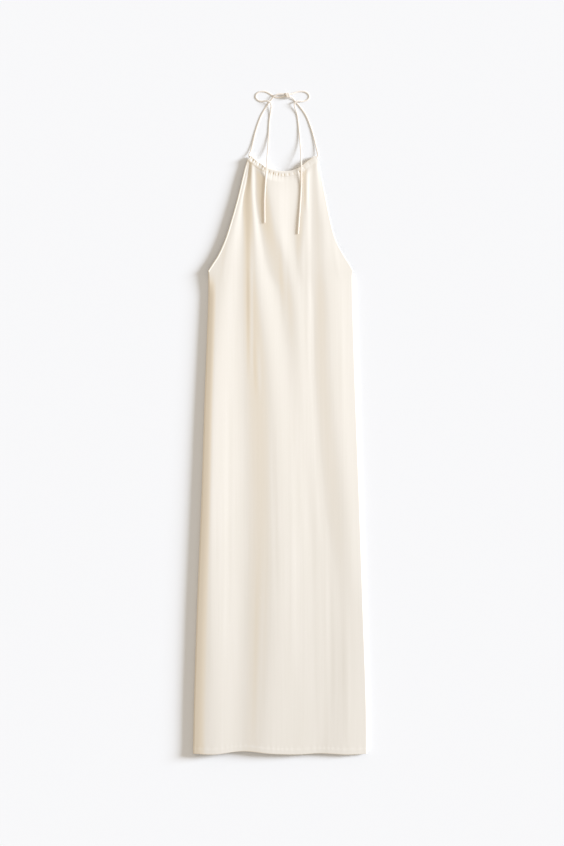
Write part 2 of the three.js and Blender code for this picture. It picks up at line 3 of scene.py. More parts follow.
import bpy
import numpy as np
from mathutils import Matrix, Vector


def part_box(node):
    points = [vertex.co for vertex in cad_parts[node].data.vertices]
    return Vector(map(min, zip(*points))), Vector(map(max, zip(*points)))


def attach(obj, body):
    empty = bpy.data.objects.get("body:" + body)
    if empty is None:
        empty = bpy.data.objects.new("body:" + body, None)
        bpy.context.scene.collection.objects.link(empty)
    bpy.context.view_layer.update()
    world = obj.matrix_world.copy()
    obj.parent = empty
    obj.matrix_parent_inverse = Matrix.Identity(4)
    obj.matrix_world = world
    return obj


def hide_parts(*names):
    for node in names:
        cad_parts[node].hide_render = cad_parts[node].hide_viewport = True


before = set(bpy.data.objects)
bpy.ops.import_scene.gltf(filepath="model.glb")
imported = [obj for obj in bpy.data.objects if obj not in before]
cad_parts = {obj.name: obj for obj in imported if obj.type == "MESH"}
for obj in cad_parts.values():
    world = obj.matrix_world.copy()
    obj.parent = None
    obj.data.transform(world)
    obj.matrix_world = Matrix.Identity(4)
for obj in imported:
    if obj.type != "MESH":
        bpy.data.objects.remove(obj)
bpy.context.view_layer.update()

# A long halter dress in ivory satin, laid flat on its back on a white surface.
# Sizes are in metres. "x" runs to the right and "down" below the neckline's corners, the
# two measures of the cut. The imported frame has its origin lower, in the middle of the dress.
HEM_DOWN = 1.376
HEM_LEFT = -0.2007
HEM_WAVE_DEEPEST = 0.002
front_low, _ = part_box("front_panel")
ORIGIN_X = HEM_LEFT - front_low[0]
ORIGIN_DOWN = HEM_DOWN + HEM_WAVE_DEEPEST + front_low[1]


def in_frame(points):
    """Points of the cut (x, minus down, height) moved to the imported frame's origin."""
    return np.asarray(points) + np.array([-ORIGIN_X, ORIGIN_DOWN, 0])


def add_object(name, data):
    """A new object in the scene, at the origin."""
    item = bpy.data.objects.new(name, data)
    bpy.context.scene.collection.objects.link(item)
    return item


# Camera, straight above the dress, with the photo's frame of 564 by 846 at 2.3 mm a pixel.
# Its data takes the lens and the sensor in millimetres.
PIXEL = 0.0023
PHOTO_ROWS = 846
VIEW_MIDDLE = in_frame([0.004, -0.6164, 0])
LENS = 0.1
SENSOR = 0.036
NEAREST = 0.1
FARTHEST = 50
MILLIMETRES = 1000

camera_data = bpy.data.cameras.new("camera")
camera_data.lens = LENS * MILLIMETRES
camera_data.sensor_width = SENSOR * MILLIMETRES
camera_data.clip_start = NEAREST
camera_data.clip_end = FARTHEST
camera = add_object("camera", camera_data)
camera.location = VIEW_MIDDLE + np.array([0, 0, PHOTO_ROWS * PIXEL * LENS / SENSOR])
bpy.context.scene.camera = camera


# Curves and meshes.
def smooth_step(t):
    """Rises from 0 to 1 as three squares less two cubes of t, and is level outside."""
    t = np.clip(t, 0, 1)
    return t * t * (3 - 2 * t)


def bell(t):
    """A bell curve, 1 at 0 and almost 0 from 2 on."""
    return np.exp(-(t**2))


def through(xs, ys, x):
    """Cubic through the points (xs, ys) that leaves each along its neighbours' chord."""
    xs = np.asarray(xs, float)
    ys = np.asarray(ys, float)
    x = np.clip(x, xs[0], xs[-1])
    i = np.clip(np.searchsorted(xs, x, side="right") - 1, 0, len(xs) - 2)
    first = (ys[1] - ys[0]) / (xs[1] - xs[0])
    inner = (ys[2:] - ys[:-2]) / (xs[2:] - xs[:-2])
    last = (ys[-1] - ys[-2]) / (xs[-1] - xs[-2])
    slope = np.concatenate([[first], inner, [last]])
    span = xs[i + 1] - xs[i]
    t = (x - xs[i]) / span
    bend = span * t * (1 - t) * (slope[i] * (1 - t) - slope[i + 1] * t)
    return ys[i] + (ys[i + 1] - ys[i]) * smooth_step(t) + bend


def distance_along(line):
    """Distance along a line of points, from its first."""
    steps = np.linalg.norm(np.diff(line, axis=0), axis=1)
    return np.concatenate([[0], np.cumsum(steps)])


# Steps of a curve between two of its points.
CURVE_STEPS = 24


def rounded_path(points, spacing):
    """Centripetal Catmull-Rom curve through points: between two of them it is the cubic
    that leaves each in the direction its neighbours give. It is evenly spaced."""
    points = np.asarray(points, float)
    p = np.vstack([2 * points[0] - points[1], points, 2 * points[-1] - points[-2]])
    gap = np.sqrt(np.linalg.norm(np.diff(p, axis=0), axis=1))[:, None]
    before, span, after = gap[:-2], gap[1:-1], gap[2:]
    a, b, c, d = p[:-3], p[1:-2], p[2:-1], p[3:]
    leave = span * ((b - a) / before - (c - a) / (before + span) + (c - b) / span)
    reach = span * ((c - b) / span - (d - b) / (span + after) + (d - c) / after)
    square = (3 * (c - b) - 2 * leave - reach)[:, None]
    cube = (2 * (b - c) + leave + reach)[:, None]
    t = np.linspace(0, 1, CURVE_STEPS, endpoint=False)[None, :, None]
    line = b[:, None] + t * leave[:, None] + t**2 * square + t**3 * cube
    line = np.vstack([line.reshape(-1, 3), points[-1:]])
    far = distance_along(line)
    places = np.linspace(0, far[-1], int(round(far[-1] / spacing)) + 1)
    return np.column_stack([np.interp(places, far, line[:, k]) for k in range(3)])


def unit(vectors):
    """Vectors brought to a length of 1."""
    return vectors / np.linalg.norm(vectors, axis=-1, keepdims=True)


def grid_normals(grid):
    """Unit normals of a grid of points: the cross product of its two differences."""
    return unit(np.cross(np.gradient(grid, axis=0), np.gradient(grid, axis=1)))


def quads_between(first, second):
    """Quads between two rows of vertex numbers."""
    return np.stack([first[:-1], second[:-1], second[1:], first[1:]], axis=-1)


def sheet_quads(number):
    """Quads of a grid of vertex numbers, or of each grid in a stack of them."""
    before, after = number[..., :-1, :], number[..., 1:, :]
    corners = [before[..., :-1], after[..., :-1], after[..., 1:], before[..., 1:]]
    return np.stack(corners, axis=-1)


def cap_quads(ring):
    """Quads that fill a ring of vertex numbers, from one side of it to the other."""
    i = np.arange(len(ring) // 2 - 1)
    return np.stack([ring[i], ring[i + 1], ring[-2 - i], ring[-1 - i]], axis=-1)


# Azimuth of the low light, from the right and a little from the neck's side. A flank takes the
# full painted shade once its normal leans from the light by FALL_FULL, and edges are
# drawn sharp above SHARP_ANGLE.
LIGHT_AZIMUTH = math.radians(14)
FALL_FULL = 0.12
SHARP_ANGLE = math.radians(55)


def make_piece(name, points, faces, uv):
    """A closed mesh from arrays, with its faces outwards and its UV map in metres. Its painted
    shade mask is 0 where it is level or faces the light, and rises to 1 on flanks that face away."""
    points = points.reshape(-1, 3)
    faces = np.concatenate([quads.reshape(-1, 4) for quads in faces])
    a, b, c, d = ((points - points.mean(axis=0))[faces[:, k]] for k in range(4))
    volume = np.sum(a * np.cross(b, c)) + np.sum(a * np.cross(c, d))
    if volume < 0:
        faces = faces[:, ::-1]
    mesh = bpy.data.meshes.new(name)
    mesh.from_pydata(points.tolist(), [], faces.tolist())
    corners = np.empty(len(mesh.loops), int)
    mesh.loops.foreach_get("vertex_index", corners)
    layer = mesh.uv_layers.new(name="cloth")
    layer.data.foreach_set("uv", uv.reshape(-1, 2)[corners].ravel())
    normals = np.empty(len(points) * 3)
    mesh.vertices.foreach_get("normal", normals)
    # Painted shade: a point attribute that rises on flanks turned away from the low light, which
    # the materials mix towards a warmer colour.
    away = -normals.reshape(-1, 3) @ [math.cos(LIGHT_AZIMUTH), math.sin(LIGHT_AZIMUTH), 0]
    painted_shade_mask = mesh.attributes.new(name="painted_shade_mask", type="FLOAT", domain="POINT")
    painted_shade_mask.data.foreach_set("value", smooth_step(away / FALL_FULL))
    mesh.polygons.foreach_set("use_smooth", np.ones(len(mesh.polygons), bool))
    mesh.set_sharp_from_angle(angle=SHARP_ANGLE)
    piece = add_object(name, mesh)
    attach(piece, "root")
    return piece


def shell(name, outer, inner, uv, around=False):
    """A closed wall between two grids of points. With around, each row is a closed ring and
    the wall is a pipe with open ends."""
    rows, columns = outer.shape[:2]
    number = np.arange(2 * rows * columns).reshape(2, rows, columns)
    if around:
        number = np.concatenate([number, number[:, :, :1]], axis=2)
    skin, lining = number
    faces = [
        sheet_quads(skin),
        sheet_quads(lining)[..., ::-1],
        quads_between(lining[0], skin[0]),
        quads_between(skin[-1], lining[-1]),
    ]
    if not around:
        faces.append(quads_between(skin[:, 0], lining[:, 0]))
        faces.append(quads_between(lining[:, -1], skin[:, -1]))
    return make_piece(name, np.stack([outer, inner]), faces, np.stack([uv, uv]))


def rod(name, rings, uv, closed=False):
    """A solid rod through rings of points, capped at its ends or closed on itself."""
    count, sides = rings.shape[:2]
    number = np.arange(count * sides).reshape(count, sides)
    number = np.concatenate([number, number[:, :1]], axis=1)
    if closed:
        number = np.concatenate([number, number[:1]], axis=0)
        return make_piece(name, rings, [sheet_quads(number)], uv)
    caps = [cap_quads(number[0, :-1]), cap_quads(number[-1, :-1][::-1])]
    return make_piece(name, rings, [sheet_quads(number), *caps], uv)


# Ties: a thin rolled tube of satin, pressed flat, threaded through the casing and tied in
# a bow. The seam's place and half width are angles round the section, and it starts a few
# half widths of the tie from an end. Each route is that of its solid, as x, distance down
# and height.
TIE_WIDE = 0.0034
TIE_THICK = 0.0008
TIE_SINK = 0.0007
TIE_SIDES = 18
TIE_SPACING = 0.0012
TIE_END_LEAST = 0.02
TIE_SEAM = 0.00015
TIE_SEAM_TURN = 0.6
TIE_SEAM_HALF_TURN = 0.35
TIE_SEAM_FROM_END = 2
LEFT_TIE = [
    (-0.0613, 0.0133, 0.0044), (-0.0702, 0.0052, 0.0044), (-0.0714, 0.0012, 0.0042),
    (-0.0703, -0.0035, 0.0030), (-0.0676, -0.0100, 0.0024), (-0.0643, -0.0230, 0.0017),
    (-0.0590, -0.0460, 0.0013), (-0.0526, -0.0679, 0.0011), (-0.0434, -0.0913, 0.0011),
    (-0.0321, -0.1109, 0.0011), (-0.0248, -0.1216, 0.0014), (-0.0186, -0.1302, 0.0029),
    (-0.0115, -0.1364, 0.0037), (-0.0025, -0.1396, 0.0039), (0.0055, -0.1400, 0.0039),
    (0.0115, -0.1396, 0.0038), (0.0175, -0.1392, 0.0038), (0.0235, -0.1395, 0.0035),
    (0.0310, -0.1419, 0.0024), (0.0390, -0.1448, 0.0014), (0.0480, -0.1463, 0.0011),
    (0.0575, -0.1452, 0.0011), (0.0647, -0.1404, 0.0011), (0.0670, -0.1336, 0.0011),
    (0.0628, -0.1272, 0.0011), (0.0545, -0.1240, 0.0015), (0.0460, -0.1239, 0.0030),
    (0.0395, -0.1236, 0.0038), (0.0343, -0.1206, 0.0039), (0.0326, -0.1148, 0.0034),
    (0.0345, -0.1070, 0.0022), (0.0390, -0.0930, 0.0012), (0.0433, -0.0575, 0.0013),
    (0.0463, -0.0230, 0.0030), (0.0480, 0.0060, 0.0075), (0.0484, 0.0230, 0.0115),
    (0.0483, 0.0400, 0.0107), (0.0482, 0.0690, 0.0094), (0.0463, 0.1035, 0.0092),
    (0.0408, 0.1829, 0.0092),
]
RIGHT_TIE = [
    (0.0733, 0.0129, 0.0047), (0.0839, 0.0064, 0.0046), (0.0863, 0.0020, 0.0042),
    (0.0860, -0.0030, 0.0030), (0.0843, -0.0104, 0.0024), (0.0808, -0.0253, 0.0017),
    (0.0726, -0.0564, 0.0013), (0.0597, -0.0897, 0.0011), (0.0450, -0.1113, 0.0011),
    (0.0346, -0.1229, 0.0011), (0.0295, -0.1298, 0.0021), (0.0233, -0.1341, 0.0035),
    (0.0175, -0.1346, 0.0038), (0.0115, -0.1347, 0.0036), (0.0040, -0.1333, 0.0026),
    (-0.0040, -0.1322, 0.0014), (-0.0120, -0.1334, 0.0011), (-0.0208, -0.1387, 0.0011),
    (-0.0288, -0.1436, 0.0011), (-0.0380, -0.1462, 0.0011), (-0.0470, -0.1452, 0.0011),
    (-0.0542, -0.1405, 0.0011), (-0.0560, -0.1332, 0.0011), (-0.0513, -0.1266, 0.0011),
    (-0.0426, -0.1234, 0.0016), (-0.0345, -0.1238, 0.0030), (-0.0280, -0.1234, 0.0039),
    (-0.0227, -0.1198, 0.0040), (-0.0206, -0.1133, 0.0034), (-0.0212, -0.1050, 0.0022),
    (-0.0229, -0.0930, 0.0013), (-0.0250, -0.0759, 0.0011), (-0.0266, -0.0460, 0.0014),
    (-0.0284, -0.0115, 0.0041), (-0.0302, 0.0120, 0.0086), (-0.0314, 0.0299, 0.0119),
    (-0.0330, 0.0480, 0.0111), (-0.0344, 0.0690, 0.0113), (-0.0362, 0.1035, 0.0112),
    (-0.0360, 0.1576, 0.0095),
]


def tie_piece(name, node, route):
    """A tie: an oval section with its broad sides facing up and down, rounded off over its
    last half width at both ends. A low bell-shaped ridge, its seam, runs along one side. It
    lies a little below its route, so that its shadow is faint."""
    cut = np.array(route)
    cut[:, 1] *= -1
    path = rounded_path(in_frame(cut), TIE_SPACING)
    far = distance_along(path)
    from_end = np.minimum(far, far[-1] - far) / (TIE_WIDE / 2)
    size = np.sqrt(1 - (1 - np.clip(from_end, TIE_END_LEAST, 1)) ** 2)[:, None]
    turn = np.linspace(0, 2 * np.pi, TIE_SIDES, endpoint=False)
    ridge = TIE_SEAM * bell((turn - TIE_SEAM_TURN) / TIE_SEAM_HALF_TURN)
    seam = ridge * (from_end > TIE_SEAM_FROM_END)[:, None]
    ahead = unit(np.gradient(path, axis=0))
    across = unit(np.cross(ahead, [0, 0, 1]))
    upright = np.cross(across, ahead)
    aside = (TIE_WIDE / 2 * size + seam) * np.cos(turn)
    above = (TIE_THICK / 2 * size + seam) * np.sin(turn) - TIE_SINK
    rings = (
        path[:, None]
        + aside[..., None] * across[:, None]
        + above[..., None] * upright[:, None]
    )
    around = np.broadcast_to(turn * TIE_WIDE / 2, aside.shape)
    uv = np.stack([around, np.broadcast_to(far[:, None], aside.shape)], axis=-1)
    tie = rod(name, rings, uv)
    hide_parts(node)
    return tie


left_tie = tie_piece("left_tie", "tie_left", LEFT_TIE)
right_tie = tie_piece("right_tie", "tie_right", RIGHT_TIE)

# The turn of tie that wraps the two strands in the middle of the bow. Its rings start a
# little past its side, so that none stands right at the top, where it changes sides.
KNOT_X = 0.0175
KNOT_DOWN = -0.1369
KNOT_HEIGHT = 0.0032
KNOT_APART = 0.0085
KNOT_BEND = 0.0011
KNOT_THICK = 0.0010
KNOT_WIDE = 0.0100
KNOT_LEAN = 0.35
KNOT_CREASE = 0.5
KNOT_CREASE_SPREAD = 0.3
KNOT_STEPS = 64
KNOT_SIDES = 32
KNOT_FIRST_TURN = 0.05


def knot_piece():
    """Two turns of flattened tie side by side: an oval section with a crease along its middle,
    carried round a low stadium that lies aslant over the strands."""
    turn = np.linspace(0, 2 * np.pi, KNOT_STEPS, endpoint=False) + KNOT_FIRST_TURN
    outward = np.stack([np.zeros(KNOT_STEPS), np.cos(turn), np.sin(turn)], axis=-1)
    height = KNOT_BEND * np.sin(turn)
    reach = KNOT_APART / 2 * np.sign(outward[:, 1]) + KNOT_BEND * outward[:, 1]
    middle = np.stack(
        [KNOT_X - KNOT_LEAN * reach, reach - KNOT_DOWN, KNOT_HEIGHT + height],
        axis=-1,
    )
    section = np.linspace(0, 2 * np.pi, KNOT_SIDES, endpoint=False)
    dent = bell(np.sin(section) / KNOT_CREASE_SPREAD) * (np.cos(section) > 0)
    crease = 1 - KNOT_CREASE * dent
    sideways = np.array([1, 0, 0])
    rings = (
        middle[:, None]
        + (KNOT_THICK / 2 * np.cos(section) * crease)[:, None] * outward[:, None]
        + (KNOT_WIDE / 2 * np.sin(section))[:, None] * sideways
    )
    far = KNOT_BEND * turn
    uv = np.stack(np.broadcast_arrays(KNOT_WIDE / 2 * section, far[:, None]), axis=-1)
    knot = rod("bow_wrap", in_frame(rings), uv, closed=True)
    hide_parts("bow_knot")
    return knot


bow_wrap = knot_piece()

# The cut: edges of the front at the armholes and the side seams, down from the neckline's
# corners. The cloth's thickness is that of the satin with its air.
CLOTH = 0.0005
UNDERARM_DOWN = 0.267
BACK_TOP_DOWN = 0.275
FRONT_TOP_DOWN = 0.013
BACK_HEM_DOWN = 1.3695
SEAM_HEIGHT = 0.0029
EDGES = {
    "down": [0.002, 0.023, 0.055, 0.104, 0.159, 0.196, 0.232, 0.251, UNDERARM_DOWN],
    "left": [-0.0694, -0.0779, -0.0864, -0.0984, -0.1143, -0.1263, -0.1426, -0.1548, -0.1652],
    "right": [0.0832, 0.0887, 0.0947, 0.1046, 0.1161, 0.1268, 0.1456, 0.1578, 0.1666],
}
SIDES = {
    "down": [UNDERARM_DOWN, 0.334, 0.564, 0.794, 1.024, 1.254, HEM_DOWN],
    "left": [-0.1652, -0.1657, -0.1742, -0.1816, -0.1910, -0.1984, HEM_LEFT],
    "right": [0.1666, 0.1678, 0.1749, 0.1834, 0.1910, 0.1988, 0.2000],
}


def edge_x(side, down):
    """X of the front's or back's edge on one side."""
    above = through(EDGES["down"], EDGES[side], down)
    below = through(SIDES["down"], SIDES[side], down)
    return np.where(down < UNDERARM_DOWN, above, below)


# The neckline's upper edge, and the casing of doubled cloth along it.
NECKLINE = [
    (-0.0691, 0.0005, 0), (-0.0521, -0.0145, 0), (-0.0339, -0.0271, 0),
    (-0.0144, -0.0345, 0), (0.0086, -0.0377, 0), (0.0293, -0.0350, 0),
    (0.0454, -0.0276, 0), (0.0615, -0.0147, 0), (0.0836, -0.0005, 0),
]
CASING_WIDTH = 0.014
CASING_HEIGHT = 0.0062
CASING_END = 0.004
NECKLINE_SPACING = 0.0005
neckline = rounded_path(NECKLINE, NECKLINE_SPACING)
neckline_far = distance_along(neckline)
neckline_ahead = unit(np.gradient(neckline, axis=0))


def neck_point(share, inward):
    """A point of the neckline at a share of the casing's length, a distance into the dress."""
    length = neckline_far[-1]
    far = CASING_END + share * (length - 2 * CASING_END)
    x, y = (np.interp(far, neckline_far, neckline[:, k]) for k in (0, 1))
    ahead_x, ahead_y = (np.interp(far, neckline_far, neckline_ahead[:, k]) for k in (0, 1))
    return x + ahead_y * inward, y - ahead_x * inward


# Crests and valleys that run down the front, left to right: each one's x and height at
# these distances down.
STATIONS = [0.013, 0.048, 0.103, 0.172, 0.253, 0.333, 0.517, 0.793, 1.069, HEM_DOWN]
FOLDS = {
    "left_swell": (
        [-0.0730, -0.0776, -0.0903, -0.1064, -0.1202, -0.1340, -0.1478, -0.1547, -0.1524, -0.1524],
        [0.0054, 0.0061, 0.0068, 0.0074, 0.0086, 0.0093, 0.0102, 0.0115, 0.0120, 0.0122],
    ),
    "left_valley": (
        [-0.0700, -0.0742, -0.0845, -0.0857, -0.0880, -0.0880, -0.0857, -0.0811, -0.0834, -0.0926],
        [0.0052, 0.0057, 0.0062, 0.0060, 0.0072, 0.0074, 0.0074, 0.0079, 0.0090, 0.0103],
    ),
    "long_crest": (
        [-0.0638, -0.0661, -0.0650, -0.0604, -0.0558, -0.0466, -0.0259, -0.0144, -0.0190, -0.0351],
        [0.0074, 0.0079, 0.0088, 0.0084, 0.0091, 0.0101, 0.0101, 0.0103, 0.0111, 0.0112],
    ),
    "long_crest_foot": (
        [-0.0569, -0.0558, -0.0546, -0.0443, -0.0282, -0.0006, 0.0178, 0.0454, 0.0546, 0.0454],
        [0.0069, 0.0072, 0.0081, 0.0073, 0.0079, 0.0080, 0.0087, 0.0083, 0.0087, 0.0091],
    ),
    "middle_crest": (
        [-0.0328, -0.0305, -0.0213, -0.0098, 0.0132, 0.0316, 0.0454, 0.0638, 0.0822, 0.0730],
        [0.0094, 0.0098, 0.0107, 0.0093, 0.0093, 0.0091, 0.0083, 0.0074, 0.0077, 0.0083],
    ),
    "bib_valley": (
        [0.0431, 0.0408, 0.0339, 0.0293, 0.0362, 0.0523, 0.0661, 0.0822, 0.1052, 0.0868],
        [0.0077, 0.0076, 0.0076, 0.0072, 0.0087, 0.0084, 0.0074, 0.0069, 0.0072, 0.0080],
    ),
    "bib_crest": (
        [0.0604, 0.0592, 0.0592, 0.0546, 0.0500, 0.0638, 0.0742, 0.0914, 0.1190, 0.0960],
        [0.0086, 0.0087, 0.0084, 0.0084, 0.0088, 0.0079, 0.0070, 0.0066, 0.0069, 0.0079],
    ),
    "right_valley": (
        [0.0742, 0.0730, 0.0730, 0.0730, 0.0753, 0.0776, 0.0822, 0.1052, 0.1374, 0.1144],
        [0.0079, 0.0079, 0.0076, 0.0074, 0.0080, 0.0073, 0.0069, 0.0064, 0.0066, 0.0079],
    ),
    "right_crest": (
        [0.0822, 0.0845, 0.0891, 0.0983, 0.1052, 0.1121, 0.1213, 0.1489, 0.1650, 0.1535],
        [0.0080, 0.0079, 0.0077, 0.0077, 0.0084, 0.0083, 0.0079, 0.0072, 0.0064, 0.0076],
    ),
}
LEFT_EDGE_HEIGHT = [
    0.0052, 0.0060, 0.0067, 0.0073, 0.0082, 0.0089, 0.0097, 0.0109, 0.0113, 0.0114
]
RIGHT_EDGE_HEIGHT = [
    0.0069, 0.0069, 0.0067, 0.0066, 0.0060, 0.0056, 0.0056, 0.0056, 0.0056, 0.0057
]


def fold_height(x, down):
    """Height of the front's large folds: from edge to edge the cubic that passes through each
    crest and valley and leaves it along its neighbours' chord."""
    xs = [edge_x("left", down)]
    zs = [through(STATIONS, LEFT_EDGE_HEIGHT, down)]
    for places, heights in FOLDS.values():
        xs.append(through(STATIONS, places, down))
        zs.append(through(STATIONS, heights, down))
    xs.append(edge_x("right", down))
    zs.append(through(STATIONS, RIGHT_EDGE_HEIGHT, down))
    last = len(xs) - 1
    chord = [
        (zs[min(i + 1, last)] - zs[max(i - 1, 0)]) / (xs[min(i + 1, last)] - xs[max(i - 1, 0)])
        for i in range(last + 1)
    ]
    height = zs[0].copy()
    for i in range(last):
        span = xs[i + 1] - xs[i]
        t = np.clip((x - xs[i]) / span, 0, 1)
        bend = span * t * (1 - t) * (chord[i] * (1 - t) - chord[i + 1] * t)
        between = zs[i] + (zs[i + 1] - zs[i]) * smooth_step(t) + bend
        height = np.where(x >= xs[i], between, height)
    return height


# Height of the casing's middle where the folds below it are as high as the second value,
# and the share of a higher fold that it rides up.
CASING_REST = 0.0038
CASING_REST_FOLD = 0.004
CASING_RIDE = 0.25


def casing_middle(share):
    """Height of the casing's middle, which rides a little on the folds below it."""
    x, y = neck_point(share, CASING_WIDTH)
    return CASING_REST + CASING_RIDE * (fold_height(x, -y) - CASING_REST_FOLD)


# Gathers of the casing, from left to right: place as a share of its length, depth and half
# width of the dimple, its place across the casing from 0 at the upper edge, and how far the
# crease runs on into the cloth below.
GATHERS = [
    (0.010, 0.0009, 0.0020, 0.19, 0.010), (0.052, 0.0012, 0.0024, 0.43, 0.016),
    (0.089, 0.0009, 0.0018, 0.32, 0.009), (0.120, 0.0004, 0.0015, 0.50, 0.009),
    (0.153, 0.0012, 0.0023, 0.24, 0.014), (0.205, 0.0011, 0.0022, 0.30, 0.018),
    (0.240, 0.0006, 0.0018, 0.45, 0.012), (0.275, 0.0004, 0.0016, 0.60, 0.009),
    (0.311, 0.0008, 0.0019, 0.62, 0.013), (0.338, 0.0004, 0.0013, 0.75, 0.007),
    (0.367, 0.0009, 0.0020, 0.66, 0.014), (0.398, 0.0004, 0.0014, 0.70, 0.007),
    (0.431, 0.0007, 0.0018, 0.62, 0.011), (0.468, 0.0004, 0.0016, 0.70, 0.009),
    (0.508, 0.0005, 0.0017, 0.64, 0.012), (0.567, 0.0004, 0.0019, 0.60, 0.010),
    (0.630, 0.0003, 0.0018, 0.62, 0.012), (0.700, 0.0009, 0.0020, 0.72, 0.018),
    (0.775, 0.0003, 0.0018, 0.60, 0.009), (0.865, 0.0002, 0.0020, 0.60, 0.007),
]
GATHER_SPREAD = 0.24
CASING_LENGTH = neckline_far[-1] - 2 * CASING_END


def gather_depth(share, across, below):
    """Depth of the gathers at a share of the casing's length. Each is a bell along the casing
    and another across it, whose value at the seam runs on into the cloth and fades."""
    depth = np.zeros(np.broadcast(share, across, below).shape)
    for place, deep, half_width, centre, reach in GATHERS:
        along = (share - place) * CASING_LENGTH / half_width
        spread = bell((across - centre) / GATHER_SPREAD)
        depth += deep * bell(along) * spread * bell(np.maximum(below, 0) / reach)
    return depth


# Soft ridges and troughs that the large folds leave out: start and end as x and down, half
# width and height. A power below 1 keeps their height longer towards their ends.
RIPPLE_POWER = 0.8
RIPPLES = [
    (0.0615, 0.006, 0.0600, 0.130, 0.0070, 0.00045),
    (-0.0705, 0.140, -0.0690, 0.520, 0.009, 0.00035),
    (-0.0560, 0.420, -0.0500, 0.560, 0.010, 0.00020),
    (0.0640, 0.060, 0.0640, 0.520, 0.008, 0.00015),
    (-0.1720, 0.300, -0.1800, 0.900, 0.012, 0.00013),
    (-0.1560, 0.620, -0.1640, 1.330, 0.014, 0.00013),
    (-0.1180, 0.500, -0.1200, 1.180, 0.011, -0.00013),
    (-0.0440, 0.900, -0.0560, 1.360, 0.013, 0.00015),
    (-0.0200, 0.560, -0.0080, 1.050, 0.010, -0.00013),
    (0.0020, 0.150, 0.0120, 0.420, 0.011, 0.00015),
    (0.0260, 0.640, 0.0300, 1.200, 0.012, 0.00013),
    (0.0800, 0.700, 0.0900, 1.340, 0.014, 0.00013),
    (0.1120, 0.820, 0.1180, 1.370, 0.011, -0.00013),
    (0.1380, 0.300, 0.1460, 0.700, 0.010, 0.00010),
    (0.1480, 0.960, 0.1560, 1.372, 0.012, 0.00015),
    (-0.1180, 0.180, -0.1340, 0.300, 0.010, 0.00017),
    (0.1180, 0.170, 0.1360, 0.290, 0.009, 0.00013),
]


def ripple_height(x, down):
    """Height of the soft ripples: each is a squared cosine across a line, and swells and
    fades along it as a sine."""
    height = np.zeros(np.broadcast(x, down).shape)
    for start_x, start_down, end_x, end_down, half_width, rise in RIPPLES:
        t = np.clip((down - start_down) / (end_down - start_down), 0, 1)
        across = np.clip((x - start_x - (end_x - start_x) * t) / half_width, -1, 1)
        swell = np.sin(t * np.pi) ** RIPPLE_POWER
        height += rise * np.cos(across * np.pi / 2) ** 2 * swell
    return height


# Front: its rows follow the neckline at the top and straighten further down. At the seam of
# the casing it is tucked under, a little above the casing's middle, and takes on the gathers.
NECK_FADE = 0.150
TUCK = 0.0026
SEAM_RISE = 0.0026
SEAM_BLEND_BEFORE = 0.004
SEAM_BLEND = 0.020
SEAM_ACROSS = 0.8
SEAM_GATHER = 0.4
SEAM_END_SHARE = 0.04

# Its sides curl down to the side seams, the left one in a broader roll that widens downwards.
FRONT_FLANK = 0.0025
FLANK_START = 0.025
LEFT_ROUND = 0.0026
LEFT_ROUND_WIDTHS = [0.018, 0.030]
LEFT_ROUND_START = 0.060

# Hem: the turn's depth, the relief of its stitches and edge, and the wave of the lower edge.
HEM_DEPTH = 0.013
HEM_TURN = 0.0003
HEM_STEP = 0.0040
HEM_EDGE = 0.0016
HEM_STITCH_DOWN = 0.0012
HEM_GROOVE = 0.00010
HEM_GROOVE_HALF = 0.0012
HEM_PUCKER = 0.00004
HEM_PUCKER_HALF = 0.007
HEM_PUCKER_WAVE = 0.0021
HEM_PUCKER_DRIFT = 3
HEM_PUCKER_DRIFT_WAVE = 0.017
HEM_WAVE_X = [-0.200, -0.150, -0.086, -0.020, 0.040, 0.090, 0.156, 0.200]
HEM_WAVE_DROP = [0, 0.001, -0.006, 0, 0.0015, -0.001, HEM_WAVE_DEEPEST, 0]
HEM_WAVE_LENGTH = 0.120


def hem_relief(x, down):
    """Relief of the turned hem: a step up to its double thickness, a bell-shaped groove along
    its stitches, puckers along them as a sine of uneven pace, and a rounded lower edge."""
    from_turn = down - (HEM_DOWN - HEM_DEPTH)
    step = HEM_TURN * smooth_step(from_turn / HEM_STEP + 0.5)
    groove = -HEM_GROOVE * bell((from_turn - HEM_STITCH_DOWN) / HEM_GROOVE_HALF)
    pace = x / HEM_PUCKER_WAVE + HEM_PUCKER_DRIFT * np.sin(x / HEM_PUCKER_DRIFT_WAVE)
    pucker = HEM_PUCKER * np.sin(pace) * bell(from_turn / HEM_PUCKER_HALF)
    edge = -HEM_TURN * smooth_step(1 - (HEM_DOWN - down) / HEM_EDGE)
    return step + groove + pucker + edge


def front_plan(share, curl, rolled, down):
    """X and y of the front's outer face, and each point's share of the width. Where it curls
    it goes in from the side seam as a cosine. Its top rows are moved onto the neckline, and
    its lowest ones onto the wave of the hem."""
    left, right = edge_x("left", down), edge_x("right", down)
    place = (1 - rolled) * curl / (np.pi / 2) + rolled * (1 - np.cos(curl))
    inward = np.where(share < 0.5, 1, -1)
    x = left + FRONT_FLANK + share * (right - left - 2 * FRONT_FLANK)
    x = x - inward * FRONT_FLANK * (1 - place)
    s = np.clip((x - left) / (right - left), 0, 1)
    seam_x, seam_y = neck_point(s, CASING_WIDTH - TUCK)
    top_left, top_right = (edge_x(side, np.array(FRONT_TOP_DOWN)) for side in ("left", "right"))
    follow = 1 - smooth_step((down - FRONT_TOP_DOWN) / NECK_FADE)
    x = x + follow * (seam_x - top_left - s * (top_right - top_left))
    y = -down + follow * (seam_y + FRONT_TOP_DOWN)
    wave = smooth_step((down - HEM_DOWN + HEM_WAVE_LENGTH) / HEM_WAVE_LENGTH)
    y = y - wave * through(HEM_WAVE_X, HEM_WAVE_DROP, x)
    return x, y, s


